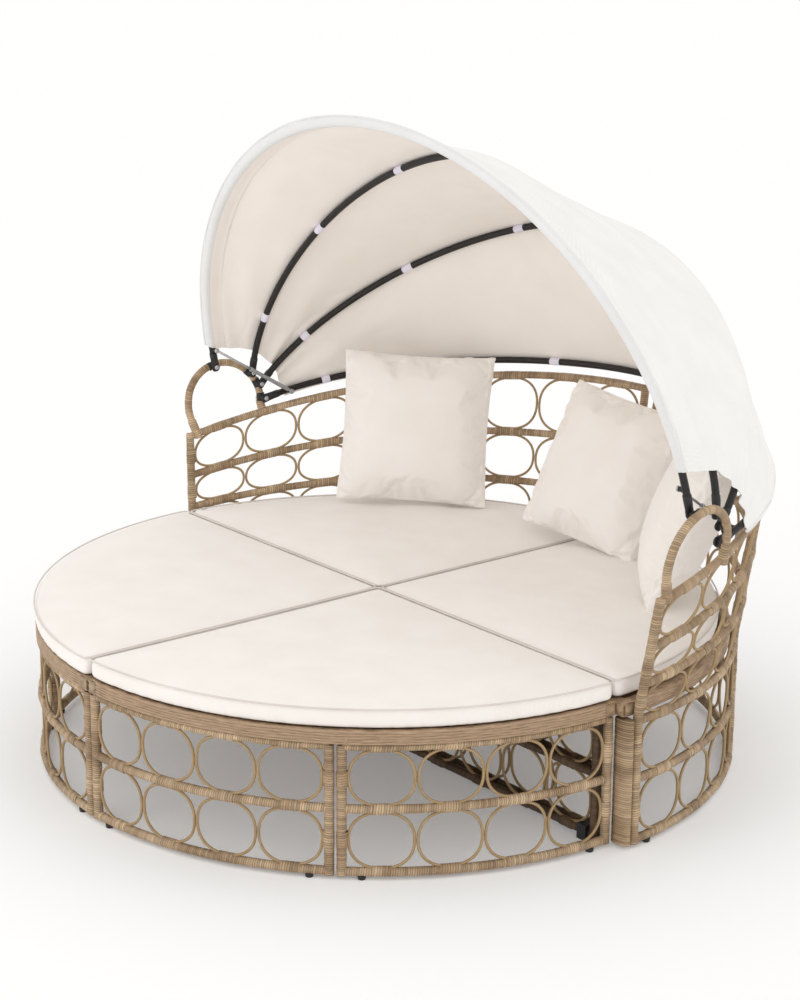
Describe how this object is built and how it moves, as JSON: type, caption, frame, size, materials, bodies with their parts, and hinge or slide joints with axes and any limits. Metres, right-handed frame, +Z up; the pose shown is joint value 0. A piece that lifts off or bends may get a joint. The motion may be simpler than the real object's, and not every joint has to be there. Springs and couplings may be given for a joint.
{
  "type": "outdoor daybed with canopy",
  "caption": "Round wicker daybed of quarter modules with thick cushions, a leaning ring-pattern backrest and a folding fabric canopy on bows.",
  "frame": {"origin": "on the floor under the middle of the whole object's box", "axes": "+X to the right as seen from the front, +Y towards the backrest, +Z up; the open front faces -Y"},
  "size_m": [2.0098, 1.91, 1.6626],
  "materials": {
    "wicker": "tan-brown woven strand, satin",
    "bow_metal": "dark powder coat, satin",
    "black_plastic": "moulded, matte",
    "stay_metal": "bright, brushed",
    "cushion_cloth": "cream woven cloth with piped edges",
    "canopy_cloth": "off-white canopy cloth, beige inside"
  },
  "bodies": {
    "back_frame": {"back_left_panel_a": "wicker", "back_left_panel_b": "wicker", "back_left_deck": "wicker", "back_left_side_frame": "wicker", "back_left_clip": "black_plastic", "back_left_cushion": "cushion_cloth", "left_arch": "wicker", "left_saddle_1": "black_plastic", "left_saddle_2": "black_plastic", "left_saddle_3": "black_plastic", "left_saddle_4": "black_plastic", "left_pivot_bolt_1": "stay_metal", "left_pivot_bolt_2": "stay_metal", "left_pivot_bolt_3": "stay_metal", "left_pivot_bolt_4": "stay_metal", "back_right_panel_a": "wicker", "back_right_panel_b": "wicker", "back_right_deck": "wicker", "back_right_side_frame": "wicker", "back_right_clip": "black_plastic", "back_right_cushion": "cushion_cloth", "right_arch": "wicker", "right_saddle_1": "black_plastic", "right_saddle_2": "black_plastic", "right_saddle_3": "black_plastic", "right_saddle_4": "black_plastic", "right_pivot_bolt_1": "stay_metal", "right_pivot_bolt_2": "stay_metal", "right_pivot_bolt_3": "stay_metal", "right_pivot_bolt_4": "stay_metal", "bow_4": "bow_metal", "canopy_strip_4": "canopy_cloth", "loose_cushion_1": "cushion_cloth", "loose_cushion_2": "cushion_cloth", "loose_cushion_3": "cushion_cloth"},
    "front_left_module": {"front_left_panel_a": "wicker", "front_left_panel_b": "wicker", "front_left_deck": "wicker", "front_left_side_frame": "wicker", "front_left_clip": "black_plastic", "front_left_cushion": "cushion_cloth"},
    "front_right_module": {"front_right_panel_a": "wicker", "front_right_panel_b": "wicker", "front_right_deck": "wicker", "front_right_side_frame": "wicker", "front_right_clip": "black_plastic", "front_right_cushion": "cushion_cloth"},
    "front_bow": {"bow_1": "bow_metal", "canopy_strip_1": "canopy_cloth"},
    "second_bow": {"bow_2": "bow_metal", "canopy_strip_2": "canopy_cloth"},
    "third_bow": {"bow_3": "bow_metal", "canopy_strip_3": "canopy_cloth"},
    "left_rod": {"left_stay_rod": "stay_metal"},
    "left_barrel": {"left_stay_barrel": "stay_metal"},
    "right_rod": {"right_stay_rod": "stay_metal"},
    "right_barrel": {"right_stay_barrel": "stay_metal"}
  },
  "joints": [
    {"name": "front_right_pull", "type": "slide", "parent": "back_frame", "child": "front_right_module", "axis": [0.7071, -0.7071, 0], "range_m": [0, 0.5]},
    {"name": "front_left_pull", "type": "slide", "parent": "back_frame", "child": "front_left_module", "axis": [-0.7071, -0.7071, 0], "range_m": [0, 0.5]},
    {"name": "canopy_fold", "type": "hinge", "parent": "back_frame", "child": "front_bow", "pos_m": [0, 0.09669, 0.82296], "axis": [-1, 0, 0], "range_deg": [0, 91.3], "deforming": ["canopy_strip_1", "canopy_strip_4"]},
    {"name": "second_bow_fold", "type": "hinge", "parent": "back_frame", "child": "second_bow", "pos_m": [0, 0.21217, 0.794], "axis": [-1, 0, 0], "range_deg": [0, 75.2], "deforming": ["canopy_strip_2"]},
    {"name": "third_bow_fold", "type": "hinge", "parent": "back_frame", "child": "third_bow", "pos_m": [0, 0.23518, 0.75909], "axis": [-1, 0, 0], "range_deg": [0, 35.8], "deforming": ["canopy_strip_3"]},
    {"name": "left_rod_turn", "type": "hinge", "parent": "front_bow", "child": "left_rod", "pos_m": [-0.93869, 0.08348, 0.87841], "axis": [0.9987, 0.0123, -0.0489], "range_deg": [0, 91.49]},
    {"name": "left_barrel_slide", "type": "slide", "parent": "left_rod", "child": "left_barrel", "axis": [-0.1784, -0.8346, 0.5212], "range_m": [0, 0.0797]},
    {"name": "right_rod_turn", "type": "hinge", "parent": "front_bow", "child": "right_rod", "pos_m": [0.93869, 0.08348, 0.87841], "axis": [0.9987, -0.0123, 0.0489], "range_deg": [0, 91.49]},
    {"name": "right_barrel_slide", "type": "slide", "parent": "right_rod", "child": "right_barrel", "axis": [0.1784, -0.8346, 0.5212], "range_m": [0, 0.0797]}
  ],
  "couplings": [
    {"joint": "second_bow_fold", "follows": "canopy_fold", "ratio": 0.82366},
    {"joint": "third_bow_fold", "follows": "canopy_fold", "ratio": 0.39211},
    {"joint": "left_rod_turn", "follows": "canopy_fold", "ratio": 1.0021},
    {"joint": "left_barrel_slide", "follows": "canopy_fold", "m_per_rad": 0.050007},
    {"joint": "right_rod_turn", "follows": "canopy_fold", "ratio": 1.0021},
    {"joint": "right_barrel_slide", "follows": "canopy_fold", "m_per_rad": 0.050007}
  ]
}
